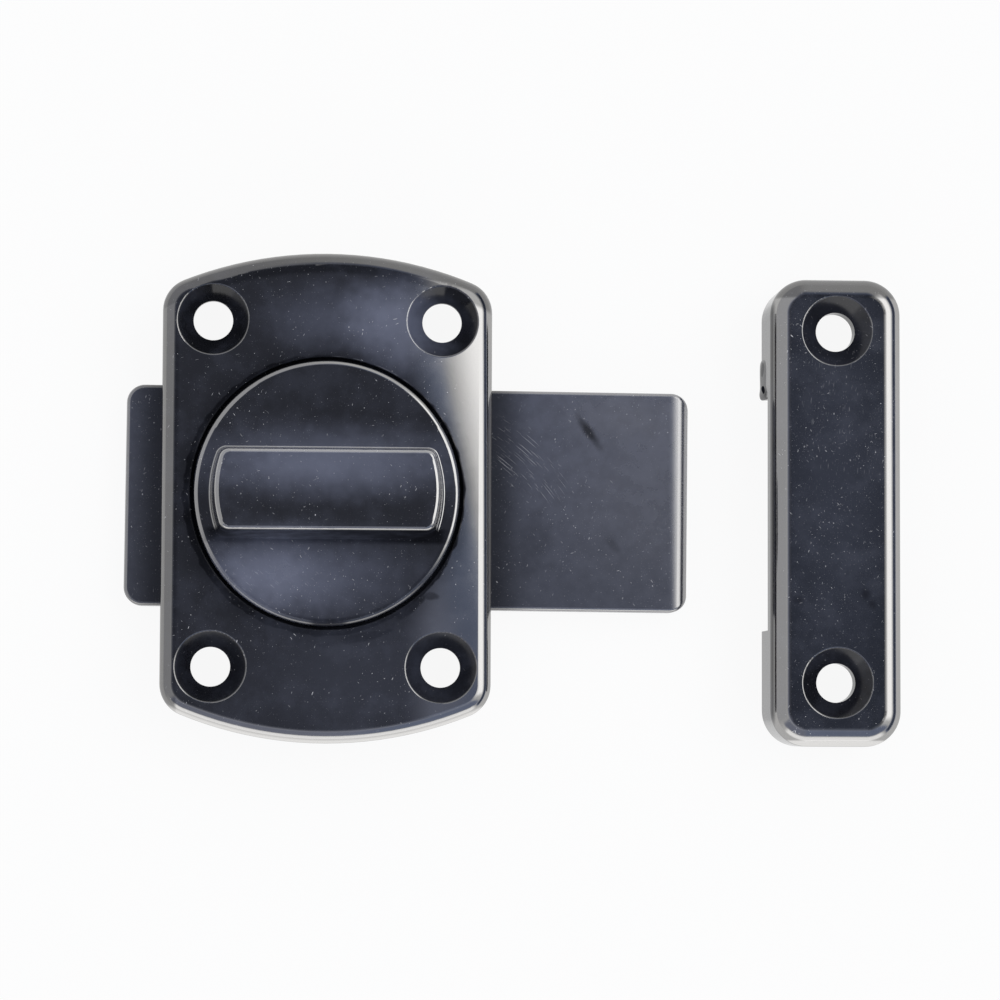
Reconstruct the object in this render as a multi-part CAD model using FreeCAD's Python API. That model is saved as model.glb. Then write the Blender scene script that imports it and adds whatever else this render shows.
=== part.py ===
import FreeCAD, Part
import math
import os

from FreeCAD import Vector

# Rotary door bolt in millimetres: a cast case whose knob turns half a turn to throw a flat
# bolt, and the separate cast keeper that the bolt enters.
# The origin is the middle of the case's four screw holes on the back face. +X is the way the
# bolt is thrown, +Y runs up the case and +Z points out of the door. The bolt is shown thrown.

# Case, a die casting that is open at the back
case_width = 40.0
case_length = 59.5
case_height = 10.0
case_end_radius = 46.5
case_corner_radius = 4.0
case_edge_radius = 1.65
case_wall = 2.0
case_face = 2.0
# The case reaches this much further below its screw holes' middle than above it
case_drop = 0.45

# Wood screw holes through the case
case_screw_pitch_x = 27.8
case_screw_pitch_y = 42.0

# One size of countersunk wood screw serves the case and the keeper
screw_hole_diameter = 4.8
countersink_diameter = 8.6
countersink_rim_radius = 0.25
screw_relief_diameter = 7.2
screw_throat = 0.6
screw_pillar_wall = 1.6

# Back plate, flat steel let into the back of the case
plate_thickness = 1.0
plate_ledge = 2.1
plate_end_inset = 0.4
plate_tab_width = 17.0
plate_tab_reach = 21.0
plate_corner_radius = 1.0
plate_fit = 0.15

# Screws of the back plate
plate_screw_diameter = 2.5
plate_screw_head_diameter = 4.4
plate_screw_length = 5.0
plate_screw_pitch_x = 11.0
plate_screw_edge = 2.6
plate_screw_post_wall = 1.35

# Bolt, a flat steel bar
bolt_length = 69.0
bolt_width = 27.0
bolt_thickness = 3.0
bolt_corner_radius = 2.2
bolt_nose_radius = 1.3
bolt_edge_radius = 0.45
bolt_side_play = 0.4
bolt_face_play = 0.2
# The loose bolt lies askew in its channel, in degrees
bolt_lean = 0.44

# Crank, which is turned by the knob, and its pin
crank_radius = 10.0
crank_thickness = 2.0
crank_hub_radius = 6.6
crank_tip_radius = 4.2
crank_play = 0.2
chamber_play = 0.5
pin_diameter = 4.5
pin_shank_diameter = 3.6
pin_head_diameter = 4.4
pin_head_depth = 0.4
pin_play = 0.15
fit_gap = 0.03

# Knob, one casting of disc, grip and hub
knob_diameter = 32.2
knob_gap = 0.4
knob_proud = 0.6
knob_rim_radius = 0.6
recess_rim_radius = 0.2
grip_height = 6.2
grip_width = 10.9
grip_end_inset = 2.05
grip_corner_radius = 1.2
grip_draft = 0.6
grip_top_radius = 0.55
grip_foot_radius = 0.2
hub_diameter = 10.0
hub_running_gap = 0.06
key_diameter = 9.2
key_width = 7.0
key_depth = 0.7
floor_thickness = 1.2

# Spring washer between the recess floor and the knob
washer_diameter = 18.0
washer_thickness = 0.25
washer_space = 0.4
washer_bore_play = 0.4

# Screw that holds the crank to the knob
knob_screw_diameter = 3.0
knob_screw_head_diameter = 5.6
knob_screw_length = 8.0
knob_screw_tip_room = 0.8

# Cross recess in a screw head, as shares of the head's diameter
recess_span = 0.55
recess_slot = 0.13
recess_depth = 0.13

# Keeper, a die casting that is open at the back and has a mouth towards the case
keeper_width = 16.0
keeper_length = 57.2
keeper_height = 10.0
keeper_corner_radius = 4.4
keeper_edge_radius = 2.3
keeper_wall = 2.0
keeper_face = 2.2
keeper_screw_pitch = 43.0
keeper_screw_lift = 0.65
keeper_relief_diameter = 7.6
keeper_throat = 2.2
keeper_pillar_wall = 1.4
keeper_mouth_play = 0.9
keeper_mouth_head_room = 1.3
keeper_stand_off = 9.7
keeper_drop = 1.75

# Small overshoot that lets a cut run clear of a face
over = 1.0

# Heights above the back face, from the door outwards
bolt_back_z = plate_thickness + bolt_face_play
bolt_face_z = bolt_back_z + bolt_thickness
channel_z = bolt_face_z + bolt_face_play
crank_z = channel_z
crank_face_z = crank_z + crank_thickness
chamber_z = crank_face_z + crank_play
floor_z = chamber_z + floor_thickness
disc_back_z = floor_z + washer_space
disc_face_z = case_height + knob_proud
grip_z = disc_face_z + grip_height

# Plan sizes that follow
bolt_centre_x = crank_radius
channel_half = bolt_width / 2 + bolt_side_play
plate_half_y = channel_half + plate_ledge
recess_radius = knob_diameter / 2 + knob_gap
chamber_radius = crank_radius + crank_tip_radius + chamber_play
pin_radius = pin_diameter / 2
notch_radius = pin_radius + pin_play
plate_screw_y = plate_tab_reach - plate_screw_edge
keeper_x = bolt_centre_x + bolt_length / 2 + keeper_stand_off + keeper_width / 2
keeper_y = -keeper_drop
mouth_half = bolt_width / 2 + keeper_mouth_play
mouth_z = bolt_face_z + keeper_mouth_head_room

case_screw_places = [
    (sx * case_screw_pitch_x / 2, sy * case_screw_pitch_y / 2) for sx in (-1, 1) for sy in (-1, 1)
]
plate_screw_places = [
    (sx * plate_screw_pitch_x / 2, sy * plate_screw_y) for sx in (-1, 1) for sy in (-1, 1)
]
keeper_screw_y = keeper_y + keeper_screw_lift
keeper_screw_places = [
    (keeper_x, keeper_screw_y + side * keeper_screw_pitch / 2) for side in (-1, 1)
]


def box(x0, x1, y0, y1, z0, z1):
    """A block between two corners."""
    return Part.makeBox(x1 - x0, y1 - y0, z1 - z0, Vector(x0, y0, z0))


def cylinder(radius, z0, z1, x=0.0, y=0.0):
    """An upright cylinder."""
    return Part.makeCylinder(radius, z1 - z0, Vector(x, y, z0))


def cone(radius0, radius1, z0, z1, x=0.0, y=0.0):
    """An upright cone with its lower radius first."""
    return Part.makeCone(radius0, radius1, z1 - z0, Vector(x, y, z0))


def prism(wire, z0, z1):
    """A flat outline drawn at z = 0, given a depth."""
    face = Part.Face(wire)
    face.translate(Vector(0, 0, z0))
    return face.extrude(Vector(0, 0, z1 - z0))


def bowed_outline(half_x, half_y, end_radius, corner_radius):
    """Straight sides at +-half_x, bowed ends that reach +-half_y, and rounded corners."""
    centre_y = half_y - end_radius
    corner_x = half_x - corner_radius
    reach = end_radius - corner_radius
    corner_y = centre_y + math.sqrt(reach ** 2 - corner_x ** 2)
    turn = math.atan2(corner_y - centre_y, corner_x)
    tip = Vector(end_radius * math.cos(turn), centre_y + end_radius * math.sin(turn), 0)
    middle = Vector(
        corner_x + corner_radius * math.cos(turn / 2),
        corner_y + corner_radius * math.sin(turn / 2),
        0,
    )
    side = Vector(half_x, corner_y, 0)

    def place(point, sx, sy):
        return Vector(sx * point.x, sy * point.y, 0)

    def corner(sx, sy):
        return Part.Arc(place(side, sx, sy), place(middle, sx, sy), place(tip, sx, sy)).toShape()

    def end(sy):
        return Part.Arc(place(tip, -1, sy), Vector(0, sy * half_y, 0), place(tip, 1, sy)).toShape()

    def straight(sx):
        return Part.makeLine(place(side, sx, -1), place(side, sx, 1))

    edges = [corner(1, 1), end(1), corner(-1, 1), straight(-1)]
    edges += [corner(-1, -1), end(-1), corner(1, -1), straight(1)]
    return Part.Wire(Part.__sortEdges__(edges))


def rounded_block(length_x, length_y, corner_radius, z0, z1, x=0.0, y=0.0):
    """A block with rounded upright corners."""
    block = box(x - length_x / 2, x + length_x / 2, y - length_y / 2, y + length_y / 2, z0, z1)
    upright = [edge for edge in block.Edges if edge.BoundBox.ZLength > (z1 - z0) / 2]
    return block.makeFillet(corner_radius, upright)


def flat_edges(shape, z, test=None):
    """Edges that lie wholly at one height and pass a further test."""
    tolerance = 1e-4
    found = []
    for edge in shape.Edges:
        span = edge.BoundBox
        if abs(span.ZMin - z) > tolerance or abs(span.ZMax - z) > tolerance:
            continue
        if test is None or test(span):
            found.append(edge)
    return found


def soft_rimmed_hole(wall_points, rim_radius, soft_radius, wall_turn, face_z):
    """The space of a round hole, whose wall flares out at a softened rim.

    The wall's points start on the hole's middle line, at its foot. The last stretch of the wall
    would meet the face at the rim's radius, and leaves the level by the angle wall_turn.
    """
    flare = rim_radius + soft_radius * math.tan(wall_turn / 2)

    def on_rim(turn):
        drop = soft_radius - soft_radius * math.cos(turn)
        return Vector(flare - soft_radius * math.sin(turn), 0, face_z - drop)

    arc = Part.Arc(on_rim(wall_turn), on_rim(wall_turn / 2), on_rim(0)).toShape()
    mouth = [on_rim(0), Vector(flare, 0, face_z + over), Vector(0, 0, face_z + over)]
    path = Part.makePolygon(mouth + wall_points + [on_rim(wall_turn)])
    outline = Part.Wire(Part.__sortEdges__([arc] + path.Edges))
    return Part.Face(outline).revolve(Vector(0, 0, 0), Vector(0, 0, 1), 360)


def countersunk_hole(face_z, throat, relief_diameter, x, y):
    """The space of a countersunk wood screw's hole: a short throat, cored out wider behind."""
    rim = countersink_diameter / 2
    bore = screw_hole_diameter / 2
    relief = relief_diameter / 2
    throat_z = face_z - (rim - bore)
    relief_z = throat_z - throat
    wall = [(0, -over), (relief, -over), (relief, relief_z), (bore, relief_z), (bore, throat_z)]
    points = [Vector(radius, 0, z) for radius, z in wall]
    hole = soft_rimmed_hole(points, rim, countersink_rim_radius, math.pi / 4, face_z)
    return hole.translated(Vector(x, y, 0))


def knob_recess():
    """The space of the round recess in which the knob turns."""
    wall = [Vector(0, 0, floor_z), Vector(recess_radius, 0, floor_z)]
    return soft_rimmed_hole(wall, recess_radius, recess_rim_radius, math.pi / 2, case_height)


def plate_space(grow, depth):
    """The outline of the back plate, a bar with a tab above and below, grown all round."""
    half_x = case_width / 2 - plate_end_inset + grow
    bar = rounded_block(2 * half_x, 2 * (plate_half_y + grow), plate_corner_radius, 0, depth)
    tab_width = plate_tab_width + 2 * grow
    tab = rounded_block(tab_width, 2 * (plate_tab_reach + grow), plate_corner_radius, 0, depth)
    return bar.fuse(tab).removeSplitter()


def screw_head_recess(head_diameter, z):
    """A cross recess that opens downwards at one height."""
    half_span = head_diameter * recess_span / 2
    half_slot = head_diameter * recess_slot / 2
    depth = head_diameter * recess_depth
    long_way = box(-half_span, half_span, -half_slot, half_slot, z - over, z + depth)
    cross_way = box(-half_slot, half_slot, -half_span, half_span, z - over, z + depth)
    return long_way.fuse(cross_way)


def flat_screw(diameter, head_diameter, length, z):
    """A countersunk machine screw whose head faces down at one height."""
    head_depth = (head_diameter - diameter) / 2
    head = cone(head_diameter / 2, diameter / 2, z, z + head_depth)
    shank = cylinder(diameter / 2, z + head_depth, z + length)
    return head.fuse(shank).cut(screw_head_recess(head_diameter, z)).removeSplitter()


def flat_screw_space(diameter, head_diameter, length, z):
    """The hole that such a screw fills, a fit gap larger all round."""
    head_depth = (head_diameter - diameter) / 2
    wide = head_diameter / 2 + fit_gap
    narrow = diameter / 2 + fit_gap
    head = cone(wide, narrow, z, z + head_depth)
    mouth = cylinder(wide, z - over, z)
    shank = cylinder(narrow, z, z + length)
    return head.fuse([mouth, shank])


def case_pocket():
    """The hollow above and below the mechanism, left round the pillars and posts."""
    top = case_height - case_face
    outline = bowed_outline(
        case_width / 2 - case_wall,
        case_length / 2 - case_wall,
        case_end_radius - case_wall,
        case_corner_radius - case_wall,
    )
    pocket = prism(outline, -over, top).translated(Vector(0, -case_drop, 0))
    keep = [box(-case_width, case_width, -plate_half_y, plate_half_y, -over, top)]
    keep.append(cylinder(recess_radius + case_wall, -over, top))
    pillar = screw_relief_diameter / 2 + screw_pillar_wall
    for x, y in case_screw_places:
        keep.append(cylinder(pillar, -over, top, x, y))
    post = plate_screw_diameter / 2 + plate_screw_post_wall
    for x, y in plate_screw_places:
        keep.append(cylinder(post, -over, top, x, y))
    return pocket.cut(keep)


def make_case():
    """The case with its recess, bolt channel, crank chamber and screw holes."""
    half_x = case_width / 2
    outline = bowed_outline(half_x, case_length / 2, case_end_radius, case_corner_radius)
    case = prism(outline, 0, case_height).translated(Vector(0, -case_drop, 0))
    case = case.makeFillet(case_edge_radius, flat_edges(case, case_height))
    case = case.cut(knob_recess())
    hole = (case_height, screw_throat, screw_relief_diameter)
    case = case.cut([countersunk_hole(*hole, x, y) for x, y in case_screw_places])
    channel = box(-half_x - over, half_x + over, -channel_half, channel_half, -over, channel_z)
    cuts = [channel, cylinder(chamber_radius, 0, chamber_z)]
    cuts.append(cylinder(hub_diameter / 2 + hub_running_gap, 0, floor_z + over))
    cuts.append(plate_space(plate_fit, plate_thickness))
    cuts.append(box(-half_x - over, half_x + over, -plate_half_y, plate_half_y, -over, plate_thickness))
    for x, y in plate_screw_places:
        cuts.append(cylinder(plate_screw_diameter / 2 + fit_gap, 0, plate_screw_length + over, x, y))
    return case.cut(case_pocket()).cut(cuts)


def make_back_plate():
    """The flat plate that closes the bolt's channel."""
    plate = plate_space(0, plate_thickness)
    sizes = (plate_screw_diameter, plate_screw_head_diameter, plate_screw_length)
    for x, y in plate_screw_places:
        plate = plate.cut(flat_screw_space(*sizes, 0).translated(Vector(x, y, 0)))
    return plate


def make_back_plate_screws():
    """Four countersunk screws, flush with the back of the plate."""
    screw = flat_screw(plate_screw_diameter, plate_screw_head_diameter, plate_screw_length, 0)
    return Part.makeCompound([screw.translated(Vector(x, y, 0)) for x, y in plate_screw_places])


def bolt_notch():
    """The cross notch that the crank pin pushes against, from its closed end out to the edge.

    The knob's turn and the bolt's travel keep one steady ratio, so the pin wanders sideways
    from the notch's middle line by up to the swing worked out here. The notch flares by that
    much, and its sides start as tangents of the round closed end. The bolt drifts sideways as
    it is drawn back along its lean, and the notch starts that much lower.
    """
    steady = 2 / math.pi
    swing = crank_radius * (math.sqrt(1 - steady ** 2) - 1 + steady * math.asin(steady))
    half = notch_radius + swing
    lean = math.atan(steady)
    start = Vector(notch_radius * math.cos(lean), -notch_radius * math.sin(lean), 0)
    shoulder = Vector(half, start.y + (half - start.x) / math.tan(lean), 0)
    right = [start, shoulder, Vector(half, bolt_width / 2 + over, 0)]
    left = [Vector(-point.x, point.y, 0) for point in right]
    closed_end = Part.Arc(left[0], Vector(0, -notch_radius, 0), right[0]).toShape()
    sides = Part.makePolygon(right + left[::-1])
    outline = Part.Wire(Part.__sortEdges__([closed_end] + sides.Edges))
    notch = prism(outline, bolt_back_z - over, bolt_face_z + over)
    drift = 2 * crank_radius * math.sin(math.radians(bolt_lean))
    return notch.translated(Vector(bolt_centre_x, -drift, 0))


def make_bolt():
    """The flat bolt with its rounded nose."""
    nose_x = bolt_centre_x + bolt_length / 2
    bolt = rounded_block(
        bolt_length, bolt_width, bolt_corner_radius, bolt_back_z, bolt_face_z, bolt_centre_x
    )
    nose = Part.makeCylinder(
        bolt_nose_radius,
        bolt_width + 2 * over,
        Vector(nose_x - bolt_nose_radius, -bolt_width / 2 - over, bolt_face_z - bolt_nose_radius),
        Vector(0, 1, 0),
    )
    corner = box(
        nose_x - bolt_nose_radius,
        nose_x + over,
        -bolt_width / 2 - over,
        bolt_width / 2 + over,
        bolt_face_z - bolt_nose_radius,
        bolt_face_z + over,
    )
    bolt = bolt.cut(corner.cut(nose))
    rest = flat_edges(bolt, bolt_face_z, lambda span: span.XMin < nose_x - 2 * bolt_nose_radius)
    bolt = bolt.makeFillet(bolt_edge_radius, rest)
    bolt.rotate(Vector(-case_width / 2, 0, 0), Vector(0, 0, 1), -bolt_lean)
    return bolt.cut(bolt_notch())


def link_outline(radius0, radius1, length):
    """Two circles on the X axis joined by their outer tangents."""
    lean = math.acos((radius0 - radius1) / length)
    points = []
    for radius, x in ((radius0, 0.0), (radius1, length)):
        for side in (1, -1):
            points.append(Vector(x + radius * math.cos(lean), side * radius * math.sin(lean), 0))
    upper0, lower0, upper1, lower1 = points
    edges = [Part.makeLine(upper0, upper1), Part.makeLine(lower0, lower1)]
    edges.append(Part.Arc(upper1, Vector(length + radius1, 0, 0), lower1).toShape())
    edges.append(Part.Arc(upper0, Vector(-radius0, 0, 0), lower0).toShape())
    return Part.Wire(Part.__sortEdges__(edges))


def hub_key(grow, z0, z1):
    """The key with two flats under the hub, which turns the crank."""
    half_flat = key_width / 2 + grow
    half_round = key_diameter / 2 + grow
    block = box(-half_round, half_round, -half_flat, half_flat, z0, z1)
    return cylinder(half_round, z0, z1).common(block)


def make_crank():
    """The arm under the recess floor, with its key seat and pin hole."""
    outline = link_outline(crank_hub_radius, crank_tip_radius, crank_radius)
    crank = prism(outline, crank_z, crank_face_z)
    crank = crank.cut(hub_key(fit_gap, crank_face_z - key_depth, crank_face_z + over))
    crank = crank.cut(
        flat_screw_space(
            knob_screw_diameter, knob_screw_head_diameter, crank_thickness + over, crank_z
        )
    )
    shank = pin_shank_diameter / 2 + fit_gap
    crank = crank.cut(cylinder(shank, crank_z - over, crank_face_z + over, crank_radius))
    head = pin_head_diameter / 2 + fit_gap
    seat = cone(shank, head, crank_face_z - pin_head_depth, crank_face_z, crank_radius)
    return crank.cut(seat)


def make_crank_pin():
    """The shouldered pin, riveted over flush in the crank."""
    shoulder = cylinder(pin_radius, bolt_back_z, crank_z, crank_radius)
    shank = cylinder(pin_shank_diameter / 2, crank_z, crank_face_z, crank_radius)
    head_z = crank_face_z - pin_head_depth
    head = cone(pin_shank_diameter / 2, pin_head_diameter / 2, head_z, crank_face_z, crank_radius)
    return shoulder.fuse([shank, head]).removeSplitter()


def grip_outline(inset, z):
    """The grip's outline, whose ends run parallel to the disc's edge."""
    end_radius = knob_diameter / 2 - grip_end_inset - inset
    outline = bowed_outline(grip_width / 2 - inset, end_radius, end_radius, grip_corner_radius)
    outline.rotate(Vector(0, 0, 0), Vector(0, 0, 1), 90)
    outline.translate(Vector(0, 0, z))
    return outline


def make_knob():
    """The knob: a disc, a tapered grip across it, and a hub and key behind it."""
    disc = cylinder(knob_diameter / 2, disc_back_z, disc_face_z)
    disc = disc.makeFillet(knob_rim_radius, flat_edges(disc, disc_face_z))
    grip = Part.makeLoft([grip_outline(0, disc_face_z), grip_outline(grip_draft, grip_z)], True, True)
    grip = grip.makeFillet(grip_top_radius, flat_edges(grip, grip_z))
    hub = cylinder(hub_diameter / 2, crank_face_z, disc_back_z + over)
    knob = disc.fuse([grip, hub]).removeSplitter()
    foot_reach = knob_diameter / 2 - grip_end_inset / 2
    foot = flat_edges(knob, disc_face_z, lambda span: span.XLength < 2 * foot_reach)
    knob = knob.makeFillet(grip_foot_radius, foot)
    knob = knob.fuse(hub_key(0, crank_face_z - key_depth, crank_face_z + over))
    tip_z = crank_z + knob_screw_length + knob_screw_tip_room
    return knob.cut(cylinder(knob_screw_diameter / 2 + fit_gap, crank_z, tip_z)).removeSplitter()


def make_knob_screw():
    """The screw that clamps the crank to the knob's hub."""
    return flat_screw(knob_screw_diameter, knob_screw_head_diameter, knob_screw_length, crank_z)


def make_spring_washer():
    """A coned spring washer, wide side down on the recess floor."""
    inner = hub_diameter / 2 + washer_bore_play
    outer = washer_diameter / 2
    rise = washer_space - washer_thickness - 2 * fit_gap
    base = floor_z + fit_gap
    corners = [
        Vector(outer, 0, base),
        Vector(outer, 0, base + washer_thickness),
        Vector(inner, 0, base + washer_thickness + rise),
        Vector(inner, 0, base + rise),
    ]
    section = Part.Face(Part.makePolygon(corners + corners[:1]))
    return section.revolve(Vector(0, 0, 0), Vector(0, 0, 1), 360)


def make_keeper():
    """The keeper, hollow from behind, with a mouth towards the case."""
    left = keeper_x - keeper_width / 2
    top = keeper_height - keeper_face
    keeper = rounded_block(
        keeper_width, keeper_length, keeper_corner_radius, 0, keeper_height, keeper_x, keeper_y
    )
    keeper = keeper.makeFillet(keeper_edge_radius, flat_edges(keeper, keeper_height))
    hole = (keeper_height, keeper_throat, keeper_relief_diameter)
    keeper = keeper.cut([countersunk_hole(*hole, x, y) for x, y in keeper_screw_places])
    hollow = rounded_block(
        keeper_width - 2 * keeper_wall,
        keeper_length - 2 * keeper_wall,
        keeper_corner_radius - keeper_wall,
        -over,
        top,
        keeper_x,
        keeper_y,
    )
    pillar = keeper_relief_diameter / 2 + keeper_pillar_wall
    hollow = hollow.cut([cylinder(pillar, -over, top, x, y) for x, y in keeper_screw_places])
    mouth = box(
        left - over,
        left + keeper_wall + over,
        keeper_y - mouth_half,
        keeper_y + mouth_half,
        -over,
        mouth_z,
    )
    return keeper.cut(hollow).cut(mouth)


nodes = {
    "case": make_case,
    "back_plate": make_back_plate,
    "back_plate_screws": make_back_plate_screws,
    "bolt": make_bolt,
    "knob": make_knob,
    "crank": make_crank,
    "crank_pin": make_crank_pin,
    "knob_screw": make_knob_screw,
    "spring_washer": make_spring_washer,
    "keeper": make_keeper,
}

os.makedirs("parts", exist_ok=True)
for name, make in nodes.items():
    shape = make()
    shape.exportStep("parts/" + name + ".step")
    span = shape.BoundBox
    print(
        "%-18s solids %d valid %s volume %8.1f  x %6.2f %6.2f  y %6.2f %6.2f  z %5.2f %5.2f"
        % (
            name,
            len(shape.Solids),
            shape.isValid(),
            shape.Volume,
            span.XMin,
            span.XMax,
            span.YMin,
            span.YMax,
            span.ZMin,
            span.ZMax,
        )
    )
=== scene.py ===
import math

import bpy
from bpy.props import FloatProperty, FloatVectorProperty, PointerProperty
from mathutils import Matrix, Vector


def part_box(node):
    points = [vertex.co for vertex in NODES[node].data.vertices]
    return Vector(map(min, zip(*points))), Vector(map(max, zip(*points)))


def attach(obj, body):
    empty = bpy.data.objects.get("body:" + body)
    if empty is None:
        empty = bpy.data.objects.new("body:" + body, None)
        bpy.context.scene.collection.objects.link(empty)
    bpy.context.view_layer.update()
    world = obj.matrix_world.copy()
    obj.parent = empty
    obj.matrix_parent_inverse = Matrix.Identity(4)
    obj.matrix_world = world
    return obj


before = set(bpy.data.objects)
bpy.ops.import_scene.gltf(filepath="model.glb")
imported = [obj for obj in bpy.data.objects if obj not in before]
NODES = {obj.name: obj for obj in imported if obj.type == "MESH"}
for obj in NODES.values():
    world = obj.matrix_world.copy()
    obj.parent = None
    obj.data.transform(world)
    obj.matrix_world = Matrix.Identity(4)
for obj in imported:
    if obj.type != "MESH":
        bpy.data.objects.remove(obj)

bl_info = {
    "name": "Door bolt looks",
    "version": (1, 0, 0),
    "blender": (4, 5, 0),
    "location": "3D View > Sidebar > Door Bolt",
    "description": "Finishes and studio for a rotary door bolt with its keeper",
    "category": "Object",
}

MM = 0.001
CASE_LOW, CASE_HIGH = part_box("case")
KEEPER_LOW, KEEPER_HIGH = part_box("keeper")
# The top of the grip and the thrown end of the bolt
KNOB_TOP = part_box("knob")[1][2]
BOLT_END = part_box("bolt")[1][0]
# Middles of the screw holes, in millimetres
CASE_SCREWS = ((-13.9, 21.0), (13.9, 21.0), (-13.9, -21.0), (13.9, -21.0))
KEEPER_SCREWS = ((62.2, 20.4), (62.2, -22.6))
# Radius of the case's bowed upper and lower ends, in millimetres
CASE_BOW = 46.5
# The scratches on the bolt run round this place
ARC_CENTRE = (4.6 * MM, -17.0 * MM, 0.0)
# The specular level at which a surface reflects as its refractive index says
FULL_SHINE = 0.5


def length(name, description, metres):
    """A property that holds a length."""
    return FloatProperty(
        name=name, description=description, default=metres, min=0.0, unit="LENGTH", precision=5
    )


def share(name, description, value, most=1.0):
    """A property that holds a plain number from nothing upwards."""
    return FloatProperty(name=name, description=description, default=value, min=0.0, max=most)


def colour(name, description, red, green, blue):
    """A property that holds a colour."""
    shade = (red, green, blue)
    return FloatVectorProperty(
        name=name, description=description, default=shade, subtype="COLOR", min=0.0, max=1.0
    )


class DoorBoltPlating(bpy.types.PropertyGroup):
    """The black plating of the case, knob, keeper and bolt"""

    black: colour("Black", "Colour of the gloss black plating", 0.008, 0.0085, 0.011)
    dust: colour("Dust", "Colour of dust and lint on the black parts", 0.74, 0.74, 0.76)
    # the bluish colour below is partly real haze and partly a painted reflection of the cool opening
    # overhead; on the bolt it is a painted sheen
    bloom_and_sheen: colour("Bloom", "Colour of the thin bluish bloom", 0.30, 0.33, 0.46)
    sheen: colour("Sheen", "Colour of the plating's reflection", 1.0, 0.985, 0.965)
    index: share("Refractive index", "Strength of the plating's reflection", 4.2, 6.0)
    satin_index: share("Bolt refractive index", "Strength of the bolt's reflection", 3.6, 6.0)
    gloss: share("Roughness", "Roughness of the clean plating", 0.10)
    haze: share("Haze", "Extra roughness in cloudy patches of the plating", 0.035)
    # painted highlight: rounded edges keep their whole reflection, and the two shares below are what
    # level faces and walls keep
    face_share: share("Face share", "Reflection of level faces and walls beside the edges' own", 0.21)
    bolt_share: share("Bolt share", "Reflection of the bolt's faces beside its edges' own", 0.35)
    satin: share("Bolt roughness", "Roughness of the bolt's satin black", 0.20)


class DoorBoltSteel(bpy.types.PropertyGroup):
    """The plated steel at the back and inside"""

    plate: colour("Plate", "Colour of the zinc-plated back plate", 0.56, 0.57, 0.58)
    screw: colour("Screws", "Colour of the screws", 0.50, 0.50, 0.52)
    crank: colour("Crank", "Colour of the crank, pin and washer", 0.42, 0.42, 0.43)
    rough: share("Roughness", "Roughness of the clean steel", 0.28)


class DoorBoltStudio(bpy.types.PropertyGroup):
    """The camera, the light tent and the floor"""

    lens: FloatProperty(name="Lens", description="Focal length in millimetres", default=132.0)
    height: length("Height", "Height of the camera above the door's face", 0.4525)
    floor: colour("Floor", "Colour of the floor", 0.93, 0.93, 0.93)
    floor_glow: share("Floor glow", "Share of the floor's white that shadows don't reach", 0.92)
    cool: colour("Opening colour", "Cool colour of the dark opening overhead", 0.70, 0.76, 1.0)
    cold: colour("Colder side", "Colour of the opening's right side", 0.54, 0.66, 1.0)
    tent: share("Tent", "Brightness of the light tent", 0.90, 10.0)
    opening: share("Opening", "Brightness of the tent's dark opening overhead", 0.27, 10.0)
    side_lamp: share("Side lamp", "Brightness of the lamp on the right", 2.2, 20.0)
    front_lamp: share("Front lamp", "Brightness of the lamp in front", 1.8, 20.0)


def settings():
    """The three groups of settings of this scene."""
    scene = bpy.context.scene
    return scene.door_bolt_plating, scene.door_bolt_steel, scene.door_bolt_studio


def add_node(tree, kind, fill=None, **options):
    """Adds a node, sets its options, and links or fills its inputs."""
    made = tree.nodes.new(kind)
    for option, value in options.items():
        setattr(made, option, value)
    for key, value in (fill or {}).items():
        if isinstance(value, bpy.types.NodeSocket):
            tree.links.new(value, made.inputs[key])
        else:
            made.inputs[key].default_value = value
    return made


def calc(tree, operation, *values):
    """The output of a Math node."""
    return add_node(tree, "ShaderNodeMath", dict(enumerate(values)), operation=operation).outputs[0]


def ramp(tree, value, start, end, low=0.0, high=1.0):
    """A smooth rise of a value from low at start to high at end."""
    fill = {"Value": value, "From Min": start, "From Max": end, "To Min": low, "To Max": high}
    made = add_node(tree, "ShaderNodeMapRange", fill, interpolation_type="SMOOTHSTEP")
    return made.outputs["Result"]


def band(tree, value, low, high, soft):
    """One between low and high and nothing outside, with soft ends."""
    rise = ramp(tree, value, low - soft, low + soft)
    fall = ramp(tree, value, high - soft, high + soft, 1.0, 0.0)
    return calc(tree, "MULTIPLY", rise, fall)


def vector_calc(tree, operation, *values):
    """The vector that a Vector Math node puts out."""
    fill = dict(enumerate(values))
    return add_node(tree, "ShaderNodeVectorMath", fill, operation=operation).outputs[0]


def length_of(tree, vector):
    """The length of a vector."""
    return add_node(tree, "ShaderNodeVectorMath", {0: vector}, operation="LENGTH").outputs["Value"]


def axes_of(tree, vector):
    """The three parts of a vector, by the names of their axes."""
    return add_node(tree, "ShaderNodeSeparateXYZ", {"Vector": vector}).outputs


def noise(tree, vector, size, **values):
    """Noise whose blobs are about as large as a size."""
    fill = {"Vector": vector, "Scale": calc(tree, "DIVIDE", 1.0, size)}
    fill.update({key.title(): value for key, value in values.items()})
    return add_node(tree, "ShaderNodeTexNoise", fill).outputs["Fac"]


def bumps(tree, height):
    """The normal of a surface with a height in metres."""
    return add_node(tree, "ShaderNodeBump", {"Height": height, "Distance": 1.0}).outputs["Normal"]


def opaque(shade):
    """A colour with full alpha, or the socket that brings one."""
    return shade if isinstance(shade, bpy.types.NodeSocket) else (*shade, 1.0)


def blend(tree, mask, first, second):
    """The first colour, changed into the second where the mask is one."""
    # A Mix node keeps its colours in the inputs 6 and 7 and puts the result out third
    fill = {"Factor": mask, 6: opaque(first), 7: opaque(second)}
    return add_node(tree, "ShaderNodeMix", fill, data_type="RGBA").outputs[2]


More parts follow.
